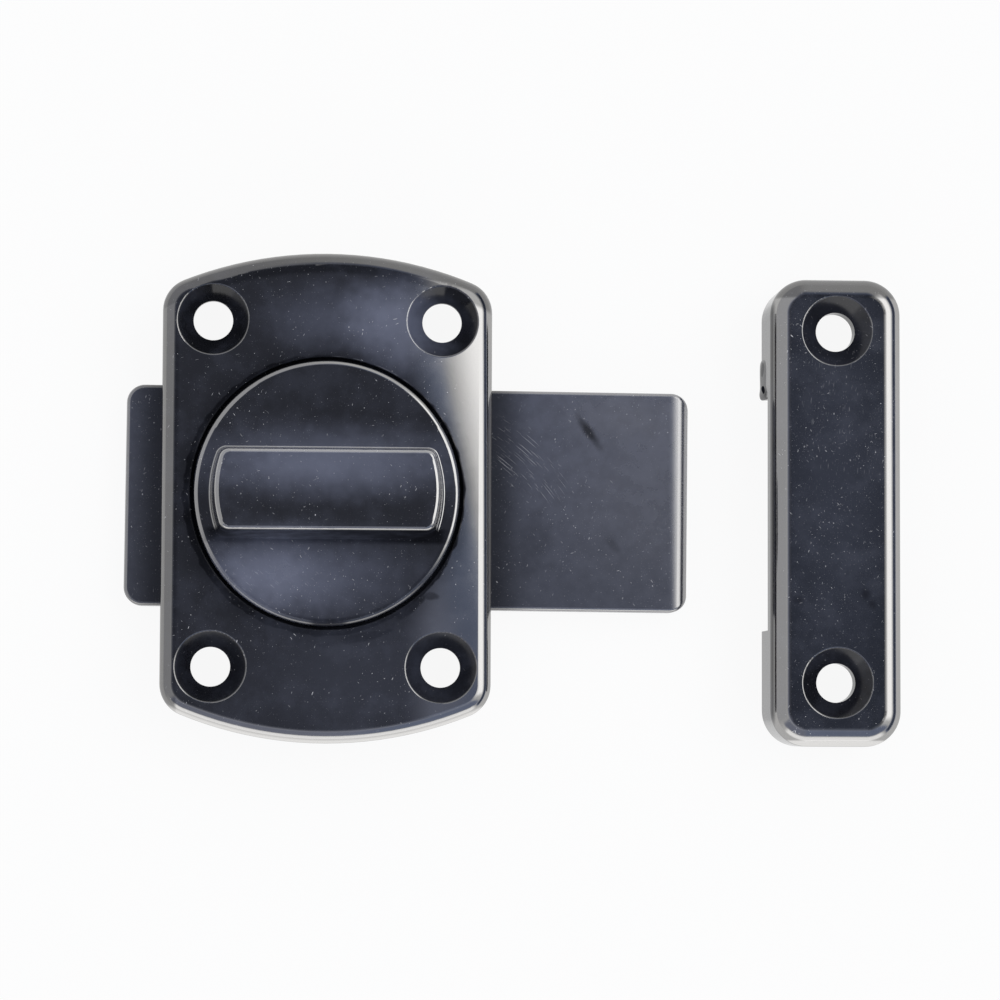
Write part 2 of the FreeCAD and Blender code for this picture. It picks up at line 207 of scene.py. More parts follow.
def new_group(name, inputs, output):
    """An empty shader node group with named inputs and one output, a plain number."""
    group = bpy.data.node_groups.new(name, "ShaderNodeTree")
    for label, value in inputs.items():
        kind = "NodeSocketVector" if isinstance(value, tuple) else "NodeSocketFloat"
        group.interface.new_socket(label, in_out="INPUT", socket_type=kind).default_value = value
    group.interface.new_socket(output, in_out="OUTPUT", socket_type="NodeSocketFloat")
    given = group.nodes.new("NodeGroupInput").outputs
    return group, given, group.nodes.new("NodeGroupOutput").inputs[0]


def use_group(tree, name, **values):
    """Places a node group in a tree. Underscores in a value's name stand for spaces."""
    fill = {key.replace("_", " ").title(): value for key, value in values.items()}
    return add_node(tree, "ShaderNodeGroup", fill, node_tree=bpy.data.node_groups[name]).outputs[0]


def make_flecks_group():
    """Dust, lint and hairline marks seen from above: cells of a pattern, each a drawn-out spot."""
    inputs = {"Vector": (0.0, 0.0, 0.0), "Turn": 0.0, "Spacing": 1 * MM, "Stretch": 1.0}
    inputs.update({"Share": 0.3, "Size": 0.1, "Bend": 0.6, "Seed": 0.0})
    group, given, result = new_group("Flecks", inputs, "Mask")
    fill = {"Vector": given["Vector"], "Angle": given["Turn"]}
    turned = add_node(group, "ShaderNodeVectorRotate", fill, rotation_type="Z_AXIS").outputs[0]
    # the pattern wanders, so that its lines bend
    blobs_to_a_cell = 0.7
    scale = calc(group, "DIVIDE", blobs_to_a_cell, given["Spacing"])
    fill = {"Vector": given["Vector"], "Scale": scale}
    wander = add_node(group, "ShaderNodeTexNoise", fill).outputs["Color"]
    fill = {
        0: vector_calc(group, "SUBTRACT", wander, (0.5, 0.5, 0.5)),
        "Scale": calc(group, "MULTIPLY", given["Spacing"], given["Bend"]),
    }
    bend = add_node(group, "ShaderNodeVectorMath", fill, operation="SCALE").outputs[0]
    long_way = calc(group, "MULTIPLY", given["Spacing"], given["Stretch"])
    fill = {"X": given["Spacing"], "Y": long_way, "Z": given["Spacing"]}
    cell = add_node(group, "ShaderNodeCombineXYZ", fill).outputs[0]
    place = vector_calc(group, "DIVIDE", vector_calc(group, "ADD", turned, bend), cell)
    fill = {"Vector": vector_calc(group, "ADD", place, given["Seed"]), "Scale": 1.0}
    spots = add_node(group, "ShaderNodeTexVoronoi", fill, voronoi_dimensions="2D").outputs
    # each cell's colour picks whether it has a spot, and how large and how strong that is
    pick = add_node(group, "ShaderNodeSeparateColor", {"Color": spots["Color"]}).outputs
    least, core = 0.3, 0.4
    chosen = calc(group, "LESS_THAN", pick[0], given["Share"])
    growth = calc(group, "MULTIPLY_ADD", calc(group, "POWER", pick[1], 2.0), 1.0 - least, least)
    reach = calc(group, "MULTIPLY", growth, given["Size"])
    spot = ramp(group, spots["Distance"], calc(group, "MULTIPLY", reach, core), reach, 1.0, 0.0)
    strength = calc(group, "MULTIPLY_ADD", pick[2], 1.0 - least, least)
    mask = calc(group, "MULTIPLY", calc(group, "MULTIPLY", spot, chosen), strength)
    group.links.new(mask, result)


def make_arcs_group():
    """Fine scratches that run round a centre: the flecks, laid out by distance and direction."""
    inputs = {"Vector": (0.0, 0.0, 0.0), "Centre": (0.0, 0.0, 0.0), "Spacing": 0.4 * MM}
    inputs.update({"Stretch": 20.0, "Share": 0.5, "Size": 0.1, "Seed": 0.0})
    group, given, result = new_group("Arcs", inputs, "Mask")
    axes = axes_of(group, vector_calc(group, "SUBTRACT", given["Vector"], given["Centre"]))
    squares = [calc(group, "POWER", axes[name], 2.0) for name in ("X", "Y")]
    out = calc(group, "SQRT", calc(group, "ADD", *squares))
    mean_radius = 20 * MM
    around = calc(group, "MULTIPLY", calc(group, "ARCTAN2", axes["Y"], axes["X"]), mean_radius)
    polar = add_node(group, "ShaderNodeCombineXYZ", {"X": out, "Y": around, "Z": 0.0}).outputs[0]
    passed = {name.lower(): given[name] for name in ("Spacing", "Stretch", "Share", "Size", "Seed")}
    group.links.new(use_group(group, "Flecks", vector=polar, **passed), result)


def make_haze_group():
    """Cloudy patches, as of handling and polishing."""
    inputs = {"Vector": (0.0, 0.0, 0.0), "Size": 10 * MM, "Low": 0.4, "High": 0.65, "Seed": 0.0}
    group, given, result = new_group("Haze", inputs, "Mask")
    moved = vector_calc(group, "ADD", given["Vector"], given["Seed"])
    clouds = noise(group, moved, given["Size"], detail=5.0, roughness=0.6)
    group.links.new(ramp(group, clouds, given["Low"], given["High"]), result)


def make_smudge_group():
    """One soft oval patch with a ragged edge."""
    inputs = {"Vector": (0.0, 0.0, 0.0), "Centre": (0.0, 0.0, 0.0), "Turn": 0.0}
    reach = (10 * MM, 10 * MM, 10 * MM)
    inputs.update({"Reach": reach, "Ragged": 0.12, "Soft": 0.95, "Grain": 1.6 * MM})
    group, given, result = new_group("Smudge", inputs, "Mask")
    fill = {"Vector": given["Vector"], "Center": given["Centre"], "Angle": given["Turn"]}
    turned = add_node(group, "ShaderNodeVectorRotate", fill, rotation_type="Z_AXIS").outputs[0]
    offset = vector_calc(group, "SUBTRACT", turned, given["Centre"])
    distance = length_of(group, vector_calc(group, "DIVIDE", offset, given["Reach"]))
    clouds = noise(group, given["Vector"], given["Grain"], detail=1.0)
    swing = calc(group, "MULTIPLY", calc(group, "SUBTRACT", clouds, 0.5), given["Ragged"])
    ragged = calc(group, "MULTIPLY_ADD", swing, 2.0, distance)
    start = calc(group, "SUBTRACT", 1.0, given["Soft"])
    group.links.new(ramp(group, ragged, start, 1.0, 1.0, 0.0), result)


def make_surface_group():
    """The height of a cast and plated surface: slow waves and a fine peel."""
    inputs = {"Vector": (0.0, 0.0, 0.0), "Wave": 6 * MM, "Depth": 0.01 * MM}
    inputs.update({"Peel": 0.6 * MM, "Peel Depth": 0.001 * MM})
    group, given, result = new_group("Cast surface", inputs, "Height")
    waves = noise(group, given["Vector"], given["Wave"], detail=1.0)
    peel = noise(group, given["Vector"], given["Peel"], detail=2.0)
    waves = calc(group, "MULTIPLY", waves, given["Depth"])
    peel = calc(group, "MULTIPLY", peel, given["Peel Depth"])
    group.links.new(calc(group, "ADD", waves, peel), result)


def make_groups():
    """Builds the shared effects once. The arcs use the flecks, so they come later."""
    makers = {
        "Flecks": make_flecks_group,
        "Arcs": make_arcs_group,
        "Haze": make_haze_group,
        "Smudge": make_smudge_group,
        "Cast surface": make_surface_group,
    }
    for name, make in makers.items():
        if name not in bpy.data.node_groups:
            make()


def new_material(name):
    """An empty material with its shader, and the place on the piece."""
    make_groups()
    material = bpy.data.materials.new(name)
    material.use_nodes = True
    tree = material.node_tree
    place = tree.nodes.new("ShaderNodeTexCoord").outputs["Object"]
    return material, tree, tree.nodes["Principled BSDF"], place


def levelness(tree):
    """One on level faces, falling to nothing on walls."""
    normal = tree.nodes.new("ShaderNodeNewGeometry").outputs["Normal"]
    return calc(tree, "ABSOLUTE", axes_of(tree, normal)["Z"])


def flecks_of_dust(tree, place, amount, seed):
    """Powder, specks and short lint on the flat faces, as one mask."""
    kinds = [
        dict(spacing=0.70 * MM, stretch=1.3, share=0.45 * amount, size=0.095, turn=0.9),
        dict(spacing=1.90 * MM, stretch=1.4, share=0.50 * amount, size=0.055, turn=0.3),
        dict(spacing=0.60 * MM, stretch=4.5, share=0.16 * amount, size=0.10, turn=0.35),
        dict(spacing=0.60 * MM, stretch=5.0, share=0.14 * amount, size=0.10, turn=-0.8),
        dict(spacing=0.70 * MM, stretch=7.0, share=0.12 * amount, size=0.07, turn=1.3),
    ]
    powder = dict(spacing=0.33 * MM, share=0.50 * amount, size=0.20)
    powder_strength, thin, more_in_clouds, seed_step = 0.22, 0.22, 0.70, 7.3
    mask = use_group(tree, "Flecks", vector=place, seed=seed, **powder)
    mask = calc(tree, "MULTIPLY", mask, powder_strength)
    for number, kind in enumerate(kinds):
        one = use_group(tree, "Flecks", vector=place, seed=seed + seed_step * number, **kind)
        mask = calc(tree, "MAXIMUM", mask, one)
    # the dust lies thickly in clouds and thinly between them
    clouds = use_group(tree, "Haze", vector=place, size=6 * MM, low=0.42, high=0.62, seed=seed + 4.0)
    mask = calc(tree, "MULTIPLY", mask, calc(tree, "MULTIPLY_ADD", clouds, more_in_clouds, thin))
    return calc(tree, "MULTIPLY", mask, ramp(tree, levelness(tree), 0.6, 0.9))


def ring(tree, place, centre, low, high, soft):
    """One between two distances from a centre in the plan, all in millimetres."""
    offset = vector_calc(tree, "SUBTRACT", place, (centre[0] * MM, centre[1] * MM, 0.0))
    flat = vector_calc(tree, "MULTIPLY", offset, (1.0, 1.0, 0.0))
    return band(tree, length_of(tree, flat), low * MM, high * MM, soft * MM)


def dull(tree, shader, mask, level, painted_shine):
    """Sets the reflection, with painted highlights: it is whole on rounded edges, and on level faces
    where the painted shine mask is one, and keeps the share given as level on other level faces and
    on walls. It is gone where the mask is one, and doubled where the mask is minus one."""
    upward = levelness(tree)
    off_level = ramp(tree, upward, 0.998, 0.985)
    off_wall = ramp(tree, upward, 0.05, 0.25)
    whole = calc(tree, "MULTIPLY", calc(tree, "MAXIMUM", off_level, painted_shine), off_wall)
    kept = calc(tree, "MULTIPLY_ADD", whole, 1.0 - level, level)
    shine = calc(tree, "MULTIPLY_ADD", mask, -FULL_SHINE, FULL_SHINE)
    tree.links.new(calc(tree, "MULTIPLY", shine, kept), shader.inputs["Specular IOR Level"])


def grazing(tree):
    """One where the surface is seen at a slant, and nothing where it faces the eye."""
    facing = tree.nodes.new("ShaderNodeLayerWeight").outputs["Facing"]
    return ramp(tree, facing, 0.14, 0.30)


def rolled_corner(tree, place):
    """The height of the case's face, which rolls off towards its upper right side."""
    axes = axes_of(tree, place)
    start, end, depth, lean = 6.6 * MM, 30.6 * MM, 4.0 * MM, math.radians(10)
    right = calc(tree, "MULTIPLY", axes["X"], math.cos(lean))
    way = calc(tree, "MULTIPLY_ADD", axes["Y"], math.sin(lean), right)
    reach = calc(tree, "DIVIDE", calc(tree, "SUBTRACT", way, start), end - start)
    rise = calc(tree, "POWER", calc(tree, "MAXIMUM", reach, 0.0), 3.0)
    return calc(tree, "MULTIPLY", rise, -depth)


def rolled_end(tree, place):
    """The height of the bolt's upper face, which rolls off towards its thrown end."""
    start, depth = BOLT_END - 2.2 * MM, 0.08 * MM
    way = calc(tree, "SUBTRACT", axes_of(tree, place)["X"], start)
    reach = calc(tree, "DIVIDE", calc(tree, "MAXIMUM", way, 0.0), MM)
    return calc(tree, "MULTIPLY", calc(tree, "POWER", reach, 2.0), -depth)


def smudge(tree, place, spot, ragged=0.12, soft=0.95):
    """The mask of one patch, given by its middle and its reach in millimetres, its turn in degrees
    and its strength."""
    (x, y), (wide, high), angle, strength = spot
    # the patch goes through the whole thickness of the piece
    middle, depth = 10 * MM, 100 * MM
    mask = use_group(
        tree, "Smudge", vector=place, centre=(x * MM, y * MM, middle),
        reach=(wide * MM, high * MM, depth), turn=math.radians(angle), ragged=ragged, soft=soft,
    )
    return calc(tree, "MULTIPLY", mask, strength)


def strongest(tree, masks):
    """The highest of several masks."""
    result = masks[0]
    for mask in masks[1:]:
        result = calc(tree, "MAXIMUM", result, mask)
    return result


def round_holes(tree, place, centres, reach, strength, soft):
    """Even round patches, one to each screw hole."""
    spots = [(centre, (reach, reach), 0.0, strength) for centre in centres]
    return [smudge(tree, place, spot, 0.0, soft) for spot in spots]


def countersinks(tree, place, centres):
    """Painted shade in the dusty cones of the screw holes, which takes out their reflection."""
    reach, strength, soft = 4.45, 0.92, 0.06
    return round_holes(tree, place, centres, reach, strength, soft)


def case_stains_and_painted_light(tree, place):
    """Painted shade in the countersinks, round and in the knob's recess and on the upper and left
    edges, a few dark stains, and a painted reflection that makes the lower wall shine at a slant.
    """
    masks = countersinks(tree, place, CASE_SCREWS)
    # painted shade round the knob and in the gap of its recess
    shade_round_knob = (-0.4, -0.4), (19.4, 19.4), 0.0, 0.45
    shade_in_knob_gap = (-0.35, -0.25), (17.25, 17.25), 0.0, 0.97
    masks.append(smudge(tree, place, shade_round_knob, 0.03, 0.18))
    masks.append(smudge(tree, place, shade_in_knob_gap, 0.02, 0.02))
    stains = [
        ((10.2, -13.9), (3.4, 0.9), -40.0, 0.85),
        ((12.6, -12.4), (1.3, 0.8), 0.0, 0.60),
        ((4.0, -17.4), (5.0, 0.7), -12.0, 0.70),
    ]
    masks += [smudge(tree, place, stain, 0.60, 0.5) for stain in stains]
    axes = axes_of(tree, place)
    # painted shade on the left edge and on the upper edge
    left, left_painted_shade, upper_painted_shade = CASE_LOW[0], 0.40, 0.55
    masks.append(ramp(tree, axes["X"], left + 2.2 * MM, left + 1.8 * MM, 0.0, left_painted_shade))
    bow_middle = 0.0, CASE_HIGH[1] / MM - CASE_BOW
    upper = ring(tree, place, bow_middle, CASE_BOW - 2.5, CASE_BOW - 0.2, 0.3)
    high_up = ramp(tree, axes["Y"], 15 * MM, 20 * MM, 0.0, upper_painted_shade)
    masks.append(calc(tree, "MULTIPLY", upper, high_up))
    # a painted reflection: the lower wall shines at a slant
    bow_middle = 0.0, CASE_LOW[1] / MM + CASE_BOW
    lower = ring(tree, place, bow_middle, CASE_BOW - 0.45, CASE_BOW + 1.5, 0.25)
    low_down = ramp(tree, axes["Y"], -23 * MM, -26 * MM)
    lower = calc(tree, "MULTIPLY", calc(tree, "MULTIPLY", lower, low_down), grazing(tree))
    return calc(tree, "SUBTRACT", strongest(tree, masks), lower)


def knob_painted_shade(tree, place):
    """Painted shade along the foot of the grip's lower side, and painted shade that dulls the lower
    rim of the disc.
    """
    axes = axes_of(tree, place)
    # painted shade under the grip
    under = band(tree, axes["Y"], -6.1 * MM, -4.3 * MM, 0.35 * MM)
    along = band(tree, axes["X"], -14.4 * MM, 14.4 * MM, 0.9 * MM)
    below_top = ramp(tree, axes["Z"], KNOB_TOP - 0.05 * MM, KNOB_TOP - 0.30 * MM)
    foot = calc(tree, "MULTIPLY", calc(tree, "MULTIPLY", under, along), below_top)
    # the painted shade on the rim is darkest at its lowest place
    least, more = 0.66, 0.30
    lowest = band(tree, axes["X"], -1.8 * MM, 2.4 * MM, 0.6 * MM)
    wear_and_shade = calc(tree, "MULTIPLY_ADD", lowest, more, least)
    wear_and_shade = calc(tree, "MULTIPLY", wear_and_shade, ramp(tree, axes["Y"], -5 * MM, -10 * MM))
    rim = ring(tree, place, (0.0, 0.0), 15.2, 17.0, 0.12)
    return calc(tree, "MAXIMUM", foot, calc(tree, "MULTIPLY", rim, wear_and_shade))


def keeper_stains_and_painted_light(tree, place):
    """Painted shade in the countersinks, on the edges and in the slits of the torn flash, a few dark
    stains, and a painted reflection that makes the lower wall shine at a slant.
    """
    masks = countersinks(tree, place, KEEPER_SCREWS)
    stains = [
        ((57.4, -12.6), (1.0, 0.8), 0.0, 0.80),
        ((65.6, -11.8), (0.9, 1.1), 0.0, 0.85),
        ((66.4, -13.0), (0.8, 0.9), 0.0, 0.70),
        ((64.6, 2.6), (0.8, 0.7), 0.0, 0.25),
    ]
    masks += [smudge(tree, place, stain) for stain in stains]
    # painted shade: dark slits in the torn flash at the mouth
    slits = [
        ((53.99, 16.3), (0.13, 1.45), 2.0, 0.97),
        ((54.00, 13.7), (0.17, 0.80), 0.0, 1.00),
        ((53.50, 15.2), (0.80, 3.20), 0.0, 0.88),
    ]
    masks += [smudge(tree, place, slit, 0.1, 0.4) for slit in slits]
    axes = axes_of(tree, place)
    left, low, high = KEEPER_LOW[0], KEEPER_LOW[1], KEEPER_HIGH[1]
    # painted shade on the left edge and on the upper edge
    left_painted_shade, upper_painted_shade, lower_painted_glint = 0.88, 0.50, 0.95
    masks.append(ramp(tree, axes["X"], left + 0.6 * MM, left + 0.1 * MM, 0.0, left_painted_shade))
    masks.append(ramp(tree, axes["Y"], high - 2.6 * MM, high - 2.2 * MM, 0.0, upper_painted_shade))
    # a painted reflection: the lower wall shines at a slant
    lower = ramp(tree, axes["Y"], low + 0.9 * MM, low + 0.6 * MM, 0.0, lower_painted_glint)
    lower = calc(tree, "MULTIPLY", lower, grazing(tree))
    return calc(tree, "SUBTRACT", strongest(tree, masks), lower)


def bolt_stains_and_darkening(tree, place):
    """The bolt is darker and duller next to the case, and has a few dark stains."""
    out = calc(tree, "ABSOLUTE", axes_of(tree, place)["X"])
    near_case_darkening = 0.55
    masks = [
        ramp(tree, out, 20.3 * MM, 26.0 * MM, near_case_darkening, 0.0),
        smudge(tree, place, ((32.3, 8.1), (3.2, 0.85), 55.0, 0.62), 0.25, 0.8),
        smudge(tree, place, ((35.3, -5.8), (1.8, 0.8), 50.0, 0.25), 0.25, 0.8),
        smudge(tree, place, ((24.5, -6.0), (4.0, 7.0), 10.0, 0.22), 0.50, 0.8),
    ]
    return strongest(tree, masks)


def rubbed(tree, place, rub, seed):
    """Fine light lines in one patch, given by its middle and its reach in millimetres and by the
    lines' turn in radians."""
    middle, reach, turn = rub
    strength = 0.30
    lines = use_group(
        tree, "Flecks", vector=place, spacing=0.28 * MM, stretch=9.0, share=0.6, size=0.20,
        turn=turn, seed=seed,
    )
    return calc(tree, "MULTIPLY", lines, smudge(tree, place, (middle, reach, 0.0, strength)))


def cast_normal(tree, place, warp):
    """The normal of the cast surface, which follows a warp too, except round the screw holes."""
    height = use_group(tree, "Cast surface", vector=place, depth=0.004 * MM)
    plain = bumps(tree, height)
    if warp is None:
        return plain
    warped = bumps(tree, calc(tree, "ADD", height, warp(tree, place)))
    reach, soft = 4.5, 0.04
    holes = strongest(tree, round_holes(tree, place, CASE_SCREWS, reach, 1.0, soft))
    # A Mix node keeps its vectors in the inputs 4 and 5 and puts the result out second
    fill = {"Factor": holes, 4: warped, 5: plain}
    return add_node(tree, "ShaderNodeMix", fill, data_type="VECTOR").outputs[1]


def reflect(shader, index, sheen):
    """Sets what is the same all over in the plating's reflection."""
    shader.inputs["IOR"].default_value = index
    shader.inputs["Specular Tint"].default_value = opaque(sheen)


def black_plating(name, seed, smudges, dulling, dust=1.0, warp=None, rub=None):
    """Gloss black plating with haze, smudges, a bluish haze colour that is partly painted reflection,
    stains with painted shade and painted highlights, dust, lint and, with a rub, one rubbed place.
    """
    plating, _, _ = settings()
    material, tree, shader, place = new_material(name)
    specks = flecks_of_dust(tree, place, dust, seed)
    if rub:
        specks = calc(tree, "MAXIMUM", specks, rubbed(tree, place, rub, seed))
    haze = use_group(tree, "Haze", vector=place, size=4 * MM, low=0.40, high=0.70, seed=seed)
    haze_mist, mist_strength, dust_roughness = 0.014, 3.2, 0.8
    rough = calc(tree, "MULTIPLY_ADD", haze, plating.haze, plating.gloss)
    # the bluish haze colour is partly real and partly a painted reflection of the cool opening
    # overhead
    haze_and_sheen = calc(tree, "MULTIPLY", haze, haze_mist)
    for spot in smudges:
        mask = smudge(tree, place, spot)
        rough = calc(tree, "ADD", rough, mask)
        haze_and_sheen = calc(tree, "ADD", haze_and_sheen, mask)
    rough = calc(tree, "MAXIMUM", rough, calc(tree, "MULTIPLY", specks, dust_roughness))
    tree.links.new(rough, shader.inputs["Roughness"])
    shade = blend(tree, calc(tree, "MULTIPLY", haze_and_sheen, mist_strength), plating.black, plating.bloom_and_sheen)
    tree.links.new(blend(tree, specks, shade, plating.dust), shader.inputs["Base Color"])
    reflect(shader, plating.index, plating.sheen)
    # a painted highlight: the warped face keeps its whole reflection where it rolls off
    painted_shine = ramp(tree, axes_of(tree, place)["X"], 9 * MM, 14 * MM) if warp else 0.0
    dull(tree, shader, dulling(tree, place), plating.face_share, painted_shine)
    tree.links.new(cast_normal(tree, place, warp), shader.inputs["Normal"])
    return material


def sliding_marks(tree, place, seed):
    """Scratches that run round a centre beside the case, and hairlines all over the bolt."""
    scratches = use_group(
        tree, "Arcs", vector=place, centre=ARC_CENTRE, spacing=0.16 * MM, stretch=28.0, share=1.0,
        size=0.26, seed=seed,
    )
    wear_and_shade = smudge(tree, place, ((23.6, 4.8), (8.0, 3.8), 42.0, 1.0), 0.2, 0.5)
    hairlines = use_group(
        tree, "Flecks", vector=place, spacing=0.8 * MM, stretch=9.0, share=0.3, size=0.05,
        turn=0.15, seed=seed + 2.0,
    )
    hairline_strength = 0.55
    hairlines = calc(tree, "MULTIPLY", hairlines, hairline_strength)
    return calc(tree, "MAXIMUM", calc(tree, "MULTIPLY", scratches, wear_and_shade), hairlines)


def satin_black(name, seed):
    """The bolt's satin black with a painted sheen, darker next to the case and scuffed by sliding."""
    plating, _, _ = settings()
    material, tree, shader, place = new_material(name)
    axes = axes_of(tree, place)
    specks = flecks_of_dust(tree, place, 1.1, seed)
    marks = sliding_marks(tree, place, seed)
    dulling = bolt_stains_and_darkening(tree, place)
    haze = use_group(tree, "Haze", vector=place, size=1.6 * MM, low=0.30, high=0.70, seed=seed)
    haze_rough, marks_rough, marks_light = 0.02, 0.25, 0.50
    rough = calc(tree, "MULTIPLY_ADD", haze, haze_rough, plating.satin)
    rougher = [
        ((41.0, 2.0), (19.0, 21.0), 0.0, 0.070),
        ((36.0, 10.5), (12.0, 5.0), 0.0, 0.060),
    ]
    for spot in rougher:
        rough = calc(tree, "ADD", rough, smudge(tree, place, spot))
    rough = calc(tree, "MULTIPLY_ADD", marks, marks_rough, rough)
    tree.links.new(rough, shader.inputs["Roughness"])
    # the colour is a painted sheen: lightest at the upper edge, cloudy, and thinner where the dulling
    # mask is high
    least_sheen, most_sheen, clear, cloudy, hidden = 0.132, 0.24, 0.85, 0.25, 1.4
    grey = ramp(tree, axes["Y"], -16 * MM, 14 * MM, least_sheen, most_sheen)
    grey = calc(tree, "MULTIPLY", grey, calc(tree, "MULTIPLY_ADD", haze, cloudy, clear))
    grey = calc(tree, "MULTIPLY", grey, calc(tree, "MULTIPLY_ADD", dulling, -hidden, 1.0))
    shade = blend(tree, calc(tree, "MAXIMUM", grey, 0.0), plating.black, plating.bloom_and_sheen)
    light = calc(tree, "MAXIMUM", specks, calc(tree, "MULTIPLY", marks, marks_light))
    tree.links.new(blend(tree, light, shade, plating.dust), shader.inputs["Base Color"])
    reflect(shader, plating.satin_index, plating.sheen)
    # a painted highlight: the thrown end keeps its whole reflection
    painted_shine = ramp(tree, axes["X"], BOLT_END - 2.6 * MM, BOLT_END - 1.4 * MM)
    dull(tree, shader, dulling, plating.bolt_share, painted_shine)
    height = use_group(
        tree, "Cast surface", vector=place, wave=3 * MM, depth=0.002 * MM, peel=0.12 * MM,
        peel_depth=0.0006 * MM,
    )
    height = calc(tree, "ADD", height, rolled_end(tree, place))
    tree.links.new(bumps(tree, height), shader.inputs["Normal"])
    return material


def zinc_steel(name, shade, rough, seed):
    """Plated steel with brushed streaks and cloudy spangle."""
    material, tree, shader, place = new_material(name)
    streaks = use_group(
        tree, "Flecks", vector=place, spacing=0.35 * MM, stretch=30.0, share=0.8, size=0.6, seed=seed
    )
    haze = use_group(tree, "Haze", vector=place, size=6 * MM, seed=seed)
    haze_shade, haze_rough, streak_rough, groove = 0.72, 0.12, 0.14, 0.0006 * MM
    darker = [haze_shade * part for part in shade]
    tree.links.new(blend(tree, haze, shade, darker), shader.inputs["Base Color"])
    rough = calc(tree, "MULTIPLY_ADD", streaks, streak_rough, rough)
    rough = calc(tree, "MULTIPLY_ADD", haze, haze_rough, rough)
    tree.links.new(rough, shader.inputs["Roughness"])
    shader.inputs["Metallic"].default_value = 1.0
    height = calc(tree, "MULTIPLY", streaks, groove)
    tree.links.new(bumps(tree, height), shader.inputs["Normal"])
    return material


def dress(node, material):
    """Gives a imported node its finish."""
    for slot in NODES[node].material_slots:
        slot.material = material


def finish_piece(piece, material, body):
    """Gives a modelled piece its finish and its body."""
    bpy.ops.object.transform_apply(location=True, rotation=True, scale=True)
    bpy.ops.object.shade_smooth()
    piece.data.materials.append(material)
    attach(piece, body)


def select_where(piece, parts, chosen):
    """Selects the faces or corners that a test chooses, and goes back to edit mode."""
    bpy.ops.mesh.select_all(action="DESELECT")
    bpy.ops.object.mode_set(mode="OBJECT")
    for part in getattr(piece.data, parts):
        part.select = chosen(part)
    bpy.ops.object.mode_set(mode="EDIT")


def make_burr(material):
    """The torn flash on the keeper's wall, at the upper end of its mouth."""
    wall = KEEPER_LOW[0]
    mouth_half = 14.4 * MM
    mouth = (KEEPER_LOW[1] + KEEPER_HIGH[1]) / 2 + mouth_half
    # each step: offset from the wall and from the mouth's end, then thickness and height
    steps = [
        (-0.15, 4.85, 0.34, 3.6),
        (-0.24, 4.60, 0.50, 4.4),
        (-0.26, 3.60, 0.54, 4.6),
        (-0.25, 2.60, 0.52, 4.6),
        (-0.23, 1.60, 0.50, 4.4),
        (-0.29, 1.05, 0.60, 4.0),
        (-0.34, 0.60, 0.70, 3.6),
        (-0.29, 0.10, 0.62, 3.2),
        (-0.14, -0.15, 0.30, 2.6),
    ]
    middle, first_slice, lean = 2.5 * MM, 0.1 * MM, 0.55 * MM
    bpy.ops.object.select_all(action="DESELECT")
    x, y, thick, high = (value * MM for value in steps[0])
    bpy.ops.mesh.primitive_cube_add(size=1.0, location=(wall + x, mouth + y, middle))
    burr = bpy.context.active_object
    burr.name = "keeper_burr"
    bpy.ops.object.mode_set(mode="EDIT")
    bpy.ops.transform.resize(value=(thick, first_slice, high), center_override=burr.location)
    select_where(burr, "polygons", lambda face: face.normal.y < -0.9)
    for (x0, y0, thick0, high0), (x1, y1, thick1, high1) in zip(steps, steps[1:]):
        move = ((x1 - x0) * MM, (y1 - y0) * MM, 0.0)
        bpy.ops.mesh.extrude_region_move(TRANSFORM_OT_translate={"value": move})
        centre = (wall + x1 * MM, mouth + y1 * MM, middle)
        grow = (thick1 / thick0, 1.0, high1 / high0)
        bpy.ops.transform.resize(value=grow, center_override=centre)
    # the flash leans back against the wall
    select_where(burr, "vertices", lambda corner: corner.co.z > 0.0)
    bpy.ops.transform.translate(value=(lean, 0.0, 0.0))
    bpy.ops.mesh.select_all(action="SELECT")
    bpy.ops.mesh.normals_make_consistent(inside=False)
    bpy.ops.object.mode_set(mode="OBJECT")
    smooth = burr.modifiers.new("smooth", "SUBSURF")
    smooth.levels = smooth.render_levels = 3
    bpy.ops.object.modifier_apply(modifier=smooth.name)
    finish_piece(burr, material, "keeper_block")


class DOORBOLT_OT_case(bpy.types.Operator):
    """Finish the cast case"""

    bl_idname = "doorbolt.case"
    bl_label = "Case"

    def execute(self, context):
        smudges = [
            ((8.5, 20.5), (9.0, 8.0), 20.0, 0.125),
            ((0.0, 21.5), (11.0, 6.0), 0.0, 0.05),
            ((4.0, -22.0), (22.0, 14.0), 0.0, 0.02),
        ]
        plating = black_plating("case_black", 1.0, smudges, case_stains_and_painted_light, dust=0.8, warp=rolled_corner)
        dress("case", plating)
        return {"FINISHED"}


class DOORBOLT_OT_knob(bpy.types.Operator):
    """Finish the knob with its grip"""

    bl_idname = "doorbolt.knob"
    bl_label = "Knob"

    def execute(self, context):
        smudges = [
            ((-6.5, -10.0), (14.5, 7.5), 0.0, 0.085),
            ((-8.5, -9.2), (9.0, 6.5), -20.0, 0.035),
            ((0.0, -10.0), (18.0, 7.6), 0.0, 0.050),
            ((0.0, 3.6), (24.0, 6.4), 0.0, 0.115),
        ]
        rub = (-6.5, -9.5), (10.0, 6.0), -0.85
        dress("knob", black_plating("knob_black", 2.0, smudges, knob_painted_shade, rub=rub))
        return {"FINISHED"}


class DOORBOLT_OT_bolt(bpy.types.Operator):
    """Finish the sliding bolt"""

    bl_idname = "doorbolt.bolt"
    bl_label = "Bolt"

    def execute(self, context):
        dress("bolt", satin_black("bolt_black", 3.0))
        return {"FINISHED"}


